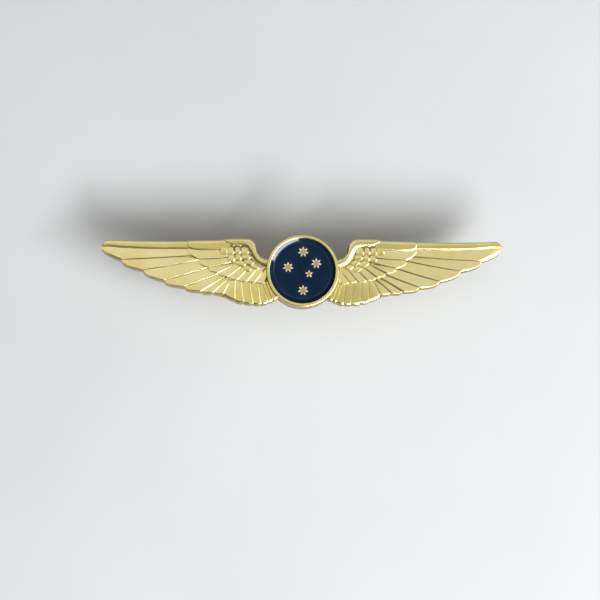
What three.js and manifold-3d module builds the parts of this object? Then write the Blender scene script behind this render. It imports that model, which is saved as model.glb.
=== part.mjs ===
// Pilot wings pin. A gold-plated casting of two feathered wings carries an enamelled medallion in its middle.
// Two posts on its back go through the cloth, and a butterfly clutch grips each post from behind.
// Millimetres. +X runs along the span, +Y towards the leading edge and +Z out of the face. The origin is the
// middle of the medallion on the flat back of the casting, where the pin meets the cloth.
import * as THREE from 'three';
import { mergeVertices } from 'three/addons/utils/BufferGeometryUtils.js';
import Module from 'manifold-3d';

const wasm = await Module();
wasm.setup();

// Driving dimensions.
const DRAFT = 0.1;                 // how far a side wall leans out from the face down to the back
const FLIGHT_TOP = 2.7;            // height of the flight feathers at their low edge
const COVERT_TOP = 2.95;           // the same for the middle row of coverts
const SCALE_TOP = 3.2;             // height of the small scale-like coverts
const RIDGE_TOP = 3.45;            // height of the ridge along the leading edge
const FEATHER_LEAN = 0.24;         // how much a feather's inner edge stands above its outer edge
const TUCK = 0.6;                  // how far a feather reaches under the one that covers it
const SEAT_TOP = 2.2;              // floor of the round seat that the medallion is soldered to
const BOSS_RADIUS = 7.1;
const MEDALLION_RADIUS = 7.19;
const MEDALLION_FLOOR = 3.55;
const BEZEL_TOP = 4.5;
const BEZEL_WIDTH = 0.68;
const BEZEL_ROUND = 0.2;
const ENAMEL_TOP = 4.15;
const STAR_TOP = 4.4;
const FIT_GAP = 0.04;              // clearance between pieces that only touch
const POST_X = 14.5;               // the posts stand this far left and right of the middle
const POST_Y = 0.75;
const POST_RADIUS = 0.6;
const POST_LENGTH = 6;
const PAD_RADIUS = 2.4;
const PAD_THICKNESS = 0.45;
const CLUTCH_RADIUS = 5.75;
const SHEET = 0.35;                // thickness of the clutch's dished base
const STRIP = 0.28;                // thickness of its spring strip
const STRIP_WIDTH = 4.4;
const DISH_FLOOR = -1.35;          // underside of the dished base
const HINGE_Y = 1.9;               // where an ear of the spring strip leaves the clamped web
const JAW_HEIGHTS = [-3.0, -3.7];  // the two jaws cross at different heights

// Flight feathers of one wing, from the wing tip inwards. Each pair is a corner between two tips on the
// trailing edge, and the point under the coverts that the seam from that corner runs to.
const FLIGHT_SEAMS = [
  [[39.9, 4.92], [21.5, 5.21]],
  [[36.0, 2.26], [21.6, 3.13]],
  [[31.6, 0.23], [20.2, 2.31]],
  [[27.4, -1.85], [17.9, 0.95]],
  [[23.35, -3.11], [15.6, -0.16]],
  [[19.9, -3.93], [14.9, -0.79]],
  [[17.55, -4.17], [13.9, -0.79]],
  [[15.5, -4.41], [13.6, -0.88]],
  [[13.3, -5.76], [13.1, -1.08]],
  [[11.5, -6.15], [12.0, -1.37]],
  [[9.7, -6.34], [10.3, -1.46]],
  [[8.2, -6.39], [8.7, -1.56]],
  [[6.75, -6.01], [8.1, -1.66]],
  [[5.95, -5.62], [7.4, -1.75]],
  [[4.7, -4.94], [6.2, -1.75]],
];
// The middle row of coverts, in the same way.
const COVERT_SEAMS = [
  [[22.75, 4.82], [14.2, 5.01]],
  [[20.75, 2.36], [13.8, 2.89]],
  [[18.75, 0.71], [13.4, 2.02]],
  [[16.6, -0.3], [12.6, 2.02]],
  [[14.7, -1.12], [11.7, 1.24]],
  [[12.8, -1.7], [10.5, 0.76]],
  [[10.85, -1.9], [8.8, 0.66]],
  [[9.3, -2.09], [7.2, 0.66]],
  [[7.3, -2.24], [6.2, 0.95]],
];
// The small coverts in the crook of the shoulder: [x, y] of the middle, length and width.
const SCALES = [
  [11.0, 0.62, 2.1, 1.9],
  [9.25, 0.91, 1.9, 1.8],
  [12.2, 1.49, 2.0, 1.9],
  [10.3, 1.78, 2.0, 1.8],
  [14.05, 2.5, 2.1, 1.6],
  [12.5, 2.55, 2.0, 1.6],
  [11.05, 2.69, 2.0, 1.6],
  [15.4, 4.29, 2.4, 1.9],
  [14.1, 4.05, 2.2, 1.5],
  [12.85, 4.14, 2.2, 1.4],
  [11.5, 4.05, 2.2, 1.6],
];
const SCALE_TURN = -Math.PI / 3;   // the small coverts point out and down
// The Southern Cross: [x, y] of each star, outer radius and number of points.
const STARS = [
  [0.1, 3.8, 1.0, 7],
  [2.7, 1.5, 1.0, 7],
  [-2.9, 0.7, 1.0, 7],
  [1.26, -0.62, 0.74, 5],
  [0.06, -3.9, 1.0, 7],
];
const STAR_CORE = 0.5;             // inner radius of a star as a share of its outer radius

// The dish of a clutch's base, round its bore: [radius, height] up the outside and back down the inside.
const DISH_PROFILE = [
  [0.8, DISH_FLOOR],
  [3.75, DISH_FLOOR],
  [4.85, -1.02],
  [5.45, -0.5],
  [CLUTCH_RADIUS, -0.36],
  [CLUTCH_RADIUS, -FIT_GAP],
  [5.35, -FIT_GAP],
  [5.2, -0.3],
  [4.6, -0.72],
  [3.6, DISH_FLOOR + SHEET],
  [0.8, DISH_FLOOR + SHEET],
  [0.8, DISH_FLOOR],
];
const TAB_HALF_WIDTH = 1.1;        // each tab of the base is this wide to both sides of its middle
const TAB_LIP = 0.6;               // how far a tab reaches over the spring strip
// The curl of an ear of the spring strip, as [reach from the post, height], up to where its jaw begins.
const EAR_CURL = [
  [3.9, -1.95], [4.95, -2.9], [5.12, -4.3], [4.4, -5.75], [3.15, -6.22], [2.2, -5.5], [2.0, -4.4],
];
const JAW_REACH = 1.0;             // how far a jaw crosses over to the other side of the post
const SLOT_WIDTH = 1.5;            // the slot in a jaw that the post passes through
const SLOT_ENDS = [-0.65, 1.0];

const plating = { color: 0xd8bd62, metalness: 1 };
const GOLD = { ...plating, roughness: 0.18 };
const SATIN_BRASS = { ...plating, roughness: 0.35 };
const ENAMEL = { color: 0x0c2140, metalness: 0, roughness: 0.12 };

// Turns a closed geometry into a solid that can be joined and cut.
function solidOf(geometry) {
  const bare = geometry.clone();
  bare.deleteAttribute('normal');
  bare.deleteAttribute('uv');
  const merged = mergeVertices(bare, 1e-4);
  const corners = merged.index.array;
  const triangles = [];
  for (let i = 0; i < corners.length; i += 3) {
    const [a, b, c] = corners.slice(i, i + 3);
    if (a !== b && b !== c && c !== a) triangles.push(a, b, c);
  }
  const vertProperties = merged.attributes.position.array;
  const triVerts = Uint32Array.from(triangles);
  return new wasm.Manifold(new wasm.Mesh({ numProp: 3, vertProperties, triVerts }));
}

function namedMesh(name, solid, finish) {
  const { vertProperties, triVerts } = solid.getMesh();
  const geometry = new THREE.BufferGeometry();
  geometry.setAttribute('position', new THREE.BufferAttribute(vertProperties, 3));
  geometry.setIndex(new THREE.BufferAttribute(triVerts, 1));
  geometry.computeVertexNormals();
  const mesh = new THREE.Mesh(geometry, new THREE.MeshStandardMaterial(finish));
  mesh.name = name;
  return mesh;
}

function union(solids) {
  return solids.reduce((whole, piece) => whole.add(piece));
}

function box(low, high) {
  const size = high.map((value, i) => value - low[i]);
  const middle = high.map((value, i) => (value + low[i]) / 2);
  return solidOf(new THREE.BoxGeometry(...size).translate(...middle));
}

// A solid turned about the Z axis from a profile of [radius, height] points.
function turned(profile, sides = 48) {
  const points = profile.map(([radius, height]) => new THREE.Vector2(radius, height));
  return new THREE.LatheGeometry(points, sides).rotateX(Math.PI / 2);
}

function cylinder(radius, low, high, sides = 48) {
  return solidOf(turned([[0, low], [radius, low], [radius, high], [0, high]], sides));
}

function prism(shape, low, high) {
  const settings = { depth: high - low, bevelEnabled: false, curveSegments: 6 };
  return solidOf(new THREE.ExtrudeGeometry(shape, settings).translate(0, 0, low));
}

const ABOVE_BACK = box([-50, -20, 0], [50, 20, 20]);

// Raises an outline from the back to the given height. Its wall leans out by DRAFT towards the back, and its
// top leans so that the edge at the far side of `across` stands higher than the edge that is tucked under.
function relief(shape, height, lean, across) {
  const settings = {
    depth: 0.5,
    bevelThickness: height,
    bevelSize: DRAFT,
    bevelSegments: 1,
    curveSegments: 4,
  };
  const geometry = new THREE.ExtrudeGeometry(shape, settings).translate(0, 0, -0.5);
  const position = geometry.attributes.position;
  const point = new THREE.Vector2();
  for (let i = 0; i < position.count; i += 1) {
    point.set(position.getX(i), position.getY(i));
    if (position.getZ(i) > height - 0.01) {
      const share = THREE.MathUtils.clamp(point.sub(across.from).dot(across.step), 0, 1);
      position.setZ(i, height + lean * share);
    }
  }
  return solidOf(geometry).intersect(ABOVE_BACK);
}

// The direction from one seam to the next, as a start and a step that measures 1 from seam to seam.
function acrossSeams(from, to) {
  const step = to.clone().sub(from);
  return { from, step: step.divideScalar(step.lengthSq()) };
}

// One feather between two seams. Its tip is a lopsided arc that is fullest near its outer corner.
function feather(outerSeam, innerSeam, side, height) {
  const [tipStart, rootStart, tipEnd, rootEnd] = [...outerSeam, ...innerSeam].map(
    ([x, y]) => new THREE.Vector2(x * side, y),
  );
  const chord = tipEnd.clone().sub(tipStart);
  const outward = new THREE.Vector2(-chord.y, chord.x).multiplyScalar(side);
  const full = tipStart.clone().addScaledVector(chord, 0.12).addScaledVector(outward, 0.2);
  const late = tipStart.clone().addScaledVector(chord, 0.6).addScaledVector(outward, 0.11);
  const along = rootStart.clone().sub(tipStart).normalize();
  const tucked = new THREE.Vector2(along.y, -along.x).multiplyScalar(side * TUCK);
  const shape = new THREE.Shape();
  shape.moveTo(rootStart.x + tucked.x, rootStart.y + tucked.y);
  shape.lineTo(tipStart.x + tucked.x + along.x * TUCK, tipStart.y + tucked.y + along.y * TUCK);
  shape.lineTo(tipStart.x, tipStart.y);
  shape.bezierCurveTo(full.x, full.y, late.x, late.y, tipEnd.x, tipEnd.y);
  shape.lineTo(rootEnd.x, rootEnd.y);
  shape.closePath();
  return relief(shape, height, FEATHER_LEAN, acrossSeams(tipStart, tipEnd));
}

function featherRow(seams, side, height) {
  return seams.slice(1).map((seam, i) => feather(seams[i], seam, side, height));
}

// A small covert: a tongue with a round tip.
function scale([x, y, length, width], side) {
  const shape = new THREE.Shape();
  const outline = new THREE.EllipseCurve(0, 0, length / 2, width / 2, 0, 2 * Math.PI).getPoints(12);
  const middle = new THREE.Vector2();
  const points = outline.slice(1).map((point) => {
    const placed = point.clone().rotateAround(middle, SCALE_TURN);
    return new THREE.Vector2((placed.x + x) * side, placed.y + y);
  });
  shape.setFromPoints(points);
  const centre = new THREE.Vector2(x * side, y);
  const tip = new THREE.Vector2((x + Math.cos(SCALE_TURN)) * side, y + Math.sin(SCALE_TURN));
  return relief(shape, SCALE_TOP, FEATHER_LEAN / 2, acrossSeams(centre, tip));
}

// The leading edge: a long outer bar, a shorter middle bar that laps over it, and the S-shaped shoulder.
function ridge(side) {
  const outlines = [
    {
      top: [[22, 6.03], [30.3, 6.0], [38.9, 6.19], [39.7, 5.88], [40, 5.3], [39.55, 4.97]],
      under: [[35.3, 4.68], [29.3, 4.42], [22, 4.46]],
      height: RIDGE_TOP - 0.25,
    },
    {
      top: [[14.6, 6.37], [22.5, 6.1], [22.95, 5.69], [23.0, 5.01], [22.5, 4.46]],
      under: [[20.4, 4.14], [17.5, 4.14], [14.6, 4.29]],
      height: RIDGE_TOP - 0.12,
    },
    {
      top: [[5.6, 2.11], [7.4, 2.47], [8.5, 2.97], [9.0, 3.85], [9.2, 4.92], [9.6, 5.88], [10.3, 6.42],
        [11.4, 6.53], [15.2, 6.46], [15.6, 6.03]],
      under: [[15.2, 5.53], [14.0, 5.04], [12.2, 4.99], [11.1, 4.61], [10.6, 3.93], [10.0, 2.65],
        [9.0, 1.63], [7.6, 0.97], [5.6, 0.66]],
      height: RIDGE_TOP,
    },
  ];
  return outlines.map(({ top, under, height }) => {
    const points = [...top, ...under].map(([x, y]) => new THREE.Vector2(x * side, y));
    const level = acrossSeams(new THREE.Vector2(0, 0), new THREE.Vector2(0, 1));
    return relief(new THREE.Shape(points), height, 0, level);
  });
}

// The gold-plated casting: both wings, the boss between them and the round seat sunk into it.
function wingsCasting() {
  const boss = solidOf(turned([[0, 0], [BOSS_RADIUS + DRAFT, 0], [BOSS_RADIUS, SEAT_TOP], [0, SEAT_TOP]]));
  const pieces = [boss];
  for (const side of [-1, 1]) {
    pieces.push(...featherRow(FLIGHT_SEAMS, side, FLIGHT_TOP));
    pieces.push(...featherRow(COVERT_SEAMS, side, COVERT_TOP));
    pieces.push(...SCALES.map((one) => scale(one, side)));
    pieces.push(...ridge(side));
  }
  return union(pieces).subtract(cylinder(MEDALLION_RADIUS + FIT_GAP, SEAT_TOP, BEZEL_TOP + 1, 64));
}

function star([x, y, radius, count], grow, low, high) {
  const points = [];
  for (let i = 0; i < 2 * count; i += 1) {
    const reach = (i % 2 ? radius * STAR_CORE : radius) + grow;
    const angle = Math.PI / 2 + (i * Math.PI) / count;
    points.push(new THREE.Vector2(x + reach * Math.cos(angle), y + reach * Math.sin(angle)));
  }
  return prism(new THREE.Shape(points), low, high);
}

// The struck medallion: a shallow cup with a rounded bezel, and five stars standing on its floor.
function medallion() {
  const inner = MEDALLION_RADIUS - BEZEL_WIDTH;
  const bottom = SEAT_TOP + FIT_GAP;
  const cup = solidOf(turned([
    [0, bottom],
    [MEDALLION_RADIUS, bottom],
    [MEDALLION_RADIUS, BEZEL_TOP - BEZEL_ROUND],
    [MEDALLION_RADIUS - BEZEL_ROUND, BEZEL_TOP],
    [inner + BEZEL_ROUND, BEZEL_TOP],
    [inner, BEZEL_TOP - BEZEL_ROUND],
    [inner, MEDALLION_FLOOR],
    [0, MEDALLION_FLOOR],
  ], 64));
  return union([cup, ...STARS.map((one) => star(one, 0, MEDALLION_FLOOR - 0.2, STAR_TOP))]);
}

// Navy enamel poured round the stars.
function enamelFill() {
  const disc = cylinder(MEDALLION_RADIUS - BEZEL_WIDTH - FIT_GAP, MEDALLION_FLOOR + FIT_GAP, ENAMEL_TOP, 64);
  return STARS.reduce((left, one) => left.subtract(star(one, FIT_GAP, 0, BEZEL_TOP)), disc);
}

// A pointed post with a groove near its tip, on the round pad that is soldered to the back of the casting.
function post() {
  return solidOf(turned([
    [0, -POST_LENGTH],
    [0.12, -POST_LENGTH],
    [POST_RADIUS, 0.6 - POST_LENGTH],
    [POST_RADIUS - 0.12, 0.8 - POST_LENGTH],
    [POST_RADIUS, 1.0 - POST_LENGTH],
    [POST_RADIUS, -PAD_THICKNESS - 0.3],
    [POST_RADIUS + 0.3, -PAD_THICKNESS],
    [PAD_RADIUS, -PAD_THICKNESS],
    [PAD_RADIUS, -FIT_GAP],
    [0, -FIT_GAP],
  ], 20));
}

// The dished base of a clutch, with the two tabs that hold the web of the spring strip.
function clutchBase() {
  const dish = solidOf(turned(DISH_PROFILE, 40));
  const inner = STRIP_WIDTH / 2 + FIT_GAP;
  const outer = inner + SHEET;
  const under = DISH_FLOOR - STRIP - 3 * FIT_GAP;
  const tabs = [-1, 1].flatMap((side) => [
    boxAcross(side, inner, outer, TAB_HALF_WIDTH, under - SHEET, DISH_FLOOR + SHEET / 3),
    boxAcross(side, inner - TAB_LIP, outer, TAB_HALF_WIDTH, under - SHEET, under),
  ]);
  return union([dish, ...tabs]);
}

// A box on one side of the YZ plane, `half` wide each way along Y.
function boxAcross(side, near, far, half, low, high) {
  const [x0, x1] = side > 0 ? [near, far] : [-far, -near];
  return box([x0, -half, low], [x1, half, high]);
}

// The flat middle of the spring strip, clamped under the base.
function springWeb() {
  const half = STRIP_WIDTH / 2;
  const top = DISH_FLOOR - FIT_GAP;
  const plate = box([-half, 0.25 - HINGE_Y, top - STRIP], [half, HINGE_Y - 0.25, top]);
  return plate.subtract(cylinder(POST_RADIUS + 0.2, top - 2, top + 1, 24));
}

// One ear of the spring strip: from the web it curls out and round, and comes back as a slotted jaw that
// crosses the post. `side` is the side of the post that the ear stands on.
function springEar(side, jawHeight) {
  const top = DISH_FLOOR - FIT_GAP - STRIP / 2;
  const bends = [
    [HINGE_Y, top], [HINGE_Y + 0.7, top - 0.02], ...EAR_CURL, [1.9, jawHeight - 0.32], [1.5, jawHeight],
    [0.4, jawHeight], [-JAW_REACH, jawHeight],
  ];
  const corners = bends.map(([y, z]) => new THREE.Vector3(y, z, 0));
  const path = new THREE.CatmullRomCurve3(corners, false, 'centripetal');
  const steps = 34;
  const edges = [[], []];
  for (let i = 0; i <= steps; i += 1) {
    const point = path.getPoint(i / steps);
    const tangent = path.getTangent(i / steps);
    for (const [edge, way] of [[edges[0], 1], [edges[1], -1]]) {
      const offset = (way * STRIP) / 2;
      edge.push(new THREE.Vector2((point.x - tangent.y * offset) * side, point.y + tangent.x * offset));
    }
  }
  const shape = new THREE.Shape([...edges[0], ...edges[1].reverse()]);
  const strip = new THREE.ExtrudeGeometry(shape, { depth: STRIP_WIDTH, bevelEnabled: false });
  strip.translate(0, 0, -STRIP_WIDTH / 2);
  // The outline's axes are Y and Z, and its depth runs along X.
  strip.applyMatrix4(new THREE.Matrix4().set(0, 0, 1, 0, 1, 0, 0, 0, 0, 1, 0, 0, 0, 0, 0, 1));
  const [low, high] = SLOT_ENDS.map((end) => end * side).sort((a, b) => a - b);
  const half = SLOT_WIDTH / 2;
  const slot = box([-half, low, jawHeight - STRIP], [half, high, jawHeight + STRIP]);
  return solidOf(strip).subtract(slot);
}

// A butterfly clutch pushed right up to the back of the casting. Its ears stand along the span, one away from
// the medallion and one towards it.
function clutch(name, side) {
  const group = new THREE.Group();
  group.position.set(side * POST_X, POST_Y, 0);
  group.rotation.z = (-side * Math.PI) / 2;
  group.add(namedMesh(`${name}_clutch_base`, clutchBase(), SATIN_BRASS));
  group.add(namedMesh(`${name}_clutch_web`, springWeb(), SATIN_BRASS));
  group.add(namedMesh(`${name}_clutch_outer_ear`, springEar(1, JAW_HEIGHTS[0]), SATIN_BRASS));
  group.add(namedMesh(`${name}_clutch_inner_ear`, springEar(-1, JAW_HEIGHTS[1]), SATIN_BRASS));
  return group;
}

const pin = new THREE.Group();
pin.add(namedMesh('wings_casting', wingsCasting(), GOLD));
pin.add(namedMesh('medallion', medallion(), GOLD));
pin.add(namedMesh('enamel_fill', enamelFill(), ENAMEL));
for (const [name, side] of [['left', -1], ['right', 1]]) {
  const mesh = namedMesh(`${name}_post`, post(), SATIN_BRASS);
  mesh.position.set(side * POST_X, POST_Y, 0);
  pin.add(mesh);
  pin.add(clutch(name, side));
}

export default pin;
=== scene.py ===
"""Looks for the pilot wings pin: a detailed casting, medallion, enamel, posts and butterfly clutches.

Lengths on the pin are millimetres until a mesh is made. The stage and the camera are in metres, as
Blender is.
"""

import math

import bmesh
import bpy
import numpy as np
from mathutils import Matrix, Vector


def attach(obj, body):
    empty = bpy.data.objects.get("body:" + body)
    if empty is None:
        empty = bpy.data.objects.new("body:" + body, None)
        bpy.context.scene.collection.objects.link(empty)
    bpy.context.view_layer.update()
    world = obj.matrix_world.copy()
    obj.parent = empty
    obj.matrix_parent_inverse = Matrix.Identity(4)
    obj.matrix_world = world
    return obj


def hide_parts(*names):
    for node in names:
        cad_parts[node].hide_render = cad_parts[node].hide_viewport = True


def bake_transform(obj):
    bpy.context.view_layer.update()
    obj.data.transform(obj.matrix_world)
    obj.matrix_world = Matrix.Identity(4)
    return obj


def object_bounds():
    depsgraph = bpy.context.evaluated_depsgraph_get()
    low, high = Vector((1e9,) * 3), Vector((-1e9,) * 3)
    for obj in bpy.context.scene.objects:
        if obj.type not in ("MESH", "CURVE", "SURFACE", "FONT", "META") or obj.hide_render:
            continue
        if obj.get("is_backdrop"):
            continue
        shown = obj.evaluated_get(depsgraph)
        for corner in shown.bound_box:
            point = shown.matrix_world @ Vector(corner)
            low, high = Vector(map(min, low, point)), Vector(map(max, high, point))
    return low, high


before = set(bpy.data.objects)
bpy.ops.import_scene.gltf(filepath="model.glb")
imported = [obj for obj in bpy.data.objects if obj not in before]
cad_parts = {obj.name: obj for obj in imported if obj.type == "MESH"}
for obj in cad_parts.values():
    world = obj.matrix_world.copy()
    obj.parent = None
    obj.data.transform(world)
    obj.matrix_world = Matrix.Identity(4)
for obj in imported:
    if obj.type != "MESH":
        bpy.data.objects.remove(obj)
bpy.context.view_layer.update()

MM = 0.001

# Heights above the back face.
FLIGHT_TOP = 2.7
COVERT_TOP = 2.95
RIDGE_TOP = 3.5

# The feathers and the bars of the leading edge.
DRAFT = 0.1                   # how far a wall leans out from its rim to the back plane
BEVEL_SLOPE = 0.42            # how steeply the bevels of the feathers fall, as height over width
KEEN_SLOPE = 1.0              # the same for the keen edges of the outer feathers
TIP_SLOPE = 0.42              # the same for the bevels round the tips
BEVEL_EASE = 1.25             # how much the upper corner of a bevel is eased; at 1 it is crisp
TUCK = 0.5                    # how far a feather reaches under its neighbour
TIP_HANDLES = ((0.12, 0.2), (0.6, 0.11))    # of a tip's arc: share of its chord, and how far outwards
FEATHER_CROWN = 0.05          # four times a feather's bulge between its seams, as a share of its width
FEATHER_ROWS = 12             # of its mesh, before its tip
FEATHER_COLUMNS = 7           # of its mesh, before its raised edge
EDGE_SHARE = 0.3              # the widest that an edge's bevel may be, as a share of the feather
TIP_SHARE = 0.45              # the longest that a tip's arc may be, as a share of the feather
TIP_PULL = 1.6                # how late the feather starts to narrow towards its tip's arc
TUCK_DROP = 0.12              # how much lower the hidden edge under the neighbour lies
CORNER_DROP = 0.5             # how much further its corner at the tip is sunk
CREST = 0.35                  # where the crest of a ridge bar lies, from its upper to its lower edge
CREST_FALL = 14               # how steeply a bar falls to its upper edge, in degrees
BAR_ROUND_UPPER = 0.22        # widths of the roundings along a bar's two edges and at its outer end
BAR_ROUND_LOWER = 0.33
BAR_ROUND_END = 0.35
BAR_ROUND_DEPTH = 0.4

# The medallion and its fill.
SEAT_TOP = 2.2
BOSS_RADIUS = 7.1
MEDALLION_RADIUS = 7.19
MEDALLION_FLOOR = 3.55
BEZEL_TOP = 4.5
BEZEL_WIDTH = 0.68
BEZEL_CROWN = 0.16            # how far the bezel's crown stands above its two corners
BEZEL_FULLNESS = 0.8          # below 1, the bezel's round section is squarer than half an ellipse
ENAMEL_TOP = 3.88
CREEP = 0.74                  # how far from the bezel the enamel starts to climb
CREEP_BEND = 0.1              # how softly it bends into its climb
CREEP_SLOPE = 0.62            # how steeply it climbs, as height over width
STAR_CREEP = 0.05             # how far the enamel climbs a star
STAR_CREEP_REACH = 0.1        # and over what distance that fades
STAR_TOP = 4.2
STAR_FALL = 0.1               # how far a star's points slope down
STAR_CORE = 0.54              # inner radius of a star as a share of its outer radius
STAR_BLUNT = 0.075            # half the angle that a point's blunt end takes up

# The posts and the butterfly clutches on their backs.
POST_X = 14.5
POST_Y = 0.75
POST_RADIUS = 0.6
POST_LENGTH = 6.0
PAD_RADIUS = 2.4
PAD_THICKNESS = 0.45
DISH_FLOOR = -1.35
SHEET = 0.35                  # thickness of the base's tabs
STRIP = 0.28                  # thickness of the spring strip
HINGE = 1.9                   # how far from the post the clamped web ends
WEB_HOLE = 0.8                # radius of the web's hole for the post
JAW_SLOT = 0.7                # half the width of the slot in an ear's jaw
JAW_HEIGHTS = (-3.0, -3.7)    # of the outer and the inner ear

# The seams of the flight feathers of one wing: the corner between two tips on the trailing edge, the point
# under the coverts that the seam runs to, and how far it bows towards the wing tip.
FLIGHT_SEAMS = [
    ((39.9, 4.92), (21.5, 5.21), 0.0),
    ((36.0, 2.26), (21.6, 3.13), -0.1),
    ((31.6, 0.23), (20.2, 2.31), -0.12),
    ((27.4, -1.85), (17.9, 0.95), -0.12),
    ((23.35, -3.11), (15.6, -0.16), -0.08),
    ((19.9, -3.93), (14.9, -0.79), 0.0),
    ((17.55, -4.17), (13.9, -0.79), 0.05),
    ((15.5, -4.41), (13.6, -0.88), 0.1),
    ((13.3, -5.76), (13.1, -1.08), 0.15),
    ((11.5, -6.15), (12.0, -1.37), 0.18),
    ((9.7, -6.34), (10.3, -1.46), 0.12),
    ((8.2, -6.39), (8.7, -1.56), 0.1),
    ((6.75, -6.01), (8.1, -1.66), 0.05),
    ((5.95, -5.62), (7.4, -1.75), 0.0),
    ((4.7, -4.94), (6.2, -1.75), 0.0),
]
# The same for the coverts.
COVERT_SEAMS = [
    ((22.75, 4.82), (14.2, 5.01), 0.0),
    ((20.75, 2.36), (13.8, 2.89), -0.15),
    ((18.75, 0.71), (13.4, 2.02), -0.1),
    ((16.6, -0.3), (12.6, 2.02), -0.1),
    ((14.7, -1.12), (11.7, 1.24), 0.0),
    ((12.8, -1.7), (10.5, 0.76), 0.0),
    ((10.85, -1.9), (8.8, 0.66), 0.0),
    ((9.3, -2.09), (7.2, 0.66), 0.0),
    ((7.3, -2.24), (6.2, 0.95), 0.0),
]
# The small coverts in the crook of the shoulder, from the lowest row up: middle, half width, half length,
# and how far each is turned outwards from pointing straight down, in degrees.
SCALES = [
    ((10.85, 0.72), 0.84, 0.66, -28),
    ((9.3, 1.05), 0.82, 0.6, -30),
    ((12.2, 1.75), 0.98, 0.68, -26),
    ((10.5, 1.95), 0.9, 0.66, -24),
    ((14.1, 2.8), 0.76, 0.82, -12),
    ((12.75, 2.95), 0.7, 0.78, -8),
    ((11.2, 3.1), 0.84, 0.7, -10),
    ((15.6, 4.55), 0.78, 1.1, -4),
    ((14.25, 4.25), 0.7, 0.88, 0),
    ((12.9, 4.3), 0.66, 0.85, 0),
    ((11.5, 4.25), 0.8, 0.88, 0),
]
SCALE_ROWS = (0, 0, 1, 1, 2, 2, 2, 3, 3, 3, 3)
SCALE_ROW_STEP = 0.05         # how much higher each row lies than the one below it
SCALE_BULGE = 0.17            # height of a small covert's bevel
SCALE_FLAT = 0.45             # the share of a small covert that is level
SCALE_TILT = 0.1              # how much its tip is raised
SCALE_GROW = 1.16             # how much larger it is than its share of the crook, so that they meet
SCALE_SQUARENESS = 2.6        # exponent of its outline: 2 is an ellipse, more is squarer
# Where the rings of a small covert's mesh lie, as shares of its outline.
SCALE_RINGS = (1.0, 1.0, 0.96, 0.9, 0.82, 0.74, 0.66, 0.6, 0.54, 0.48, 0.42, 0.36, 0.26, 0.08)
# The bed that the small coverts lie on.
SCALE_BED = [
    (16.1, 5.6), (16.1, 4.0), (14.8, 2.4), (13.1, 1.2), (11.7, 0.35), (10.3, 0.1), (8.6, 0.5), (7.9, 1.3),
    (9.4, 2.4), (10.4, 3.9), (11.4, 5.2), (13.0, 5.7),
]
SCALE_BED_TOP = 2.98
# The ground at the root of the wing, between the shoulder and the coverts, and the web under all the
# feathers.
ROOT_BED = [(9.4, 0.0), (9.2, 1.7), (7.6, 1.75), (5.6, 1.4), (5.6, -0.2)]
ROOT_BED_TOP = 2.88
WEB = [
    (5.4, 1.5), (7.8, 2.2), (9.8, 5.0), (11.0, 5.9), (22.0, 5.6), (37.6, 5.4), (35.6, 3.7), (31.4, 1.6),
    (27.2, -0.4), (23.2, -1.8), (19.8, -2.7), (15.4, -3.1), (11.5, -4.4), (9.0, -4.8), (6.6, -4.4),
    (5.4, -3.6),
]
WEB_TOP = 2.1
# The stars: middle, outer radius and number of points.
STARS = [
    ((0.1, 3.8), 1.0, 7),
    ((2.7, 1.5), 1.0, 7),
    ((-2.9, 0.7), 1.0, 7),
    ((1.26, -0.62), 0.74, 5),
    ((0.06, -3.9), 1.0, 7),
]


# ---------------------------------------------------------------- mesh helpers

def new_object(name, verts, faces):
    """A mesh object from points in millimetres, with its faces pointing out."""
    mesh = bpy.data.meshes.new(name)
    mesh.from_pydata([tuple(np.asarray(v, float) * MM) for v in verts], [], faces)
    mesh.update()
    work = bmesh.new()
    work.from_mesh(mesh)
    bmesh.ops.remove_doubles(work, verts=work.verts, dist=1e-8)
    bmesh.ops.recalc_face_normals(work, faces=work.faces)
    work.to_mesh(mesh)
    work.free()
    obj = bpy.data.objects.new(name, mesh)
    bpy.context.scene.collection.objects.link(obj)
    return obj


def smooth(obj, degrees=32):
    obj.data.shade_smooth()
    obj.data.set_sharp_from_angle(angle=math.radians(degrees))


def apply_modifiers(obj):
    """Bakes the object's modifiers into its mesh."""
    graph = bpy.context.evaluated_depsgraph_get()
    baked = bpy.data.meshes.new_from_object(obj.evaluated_get(graph), depsgraph=graph)
    obj.modifiers.clear()
    old = obj.data
    obj.data = baked
    bpy.data.meshes.remove(old)


def boolean(obj, others, operation):
    """Joins or cuts obj with closed objects, which are used up."""
    tools = bpy.data.collections.new("tools")
    bpy.context.scene.collection.children.link(tools)
    for other in others:
        bpy.context.scene.collection.objects.unlink(other)
        tools.objects.link(other)
    modifier = obj.modifiers.new("boolean", "BOOLEAN")
    modifier.operation = operation
    modifier.solver = "MANIFOLD"
    modifier.operand_type = "COLLECTION"
    modifier.collection = tools
    apply_modifiers(obj)
    for other in others:
        bpy.data.objects.remove(other)
    bpy.data.collections.remove(tools)


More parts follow.
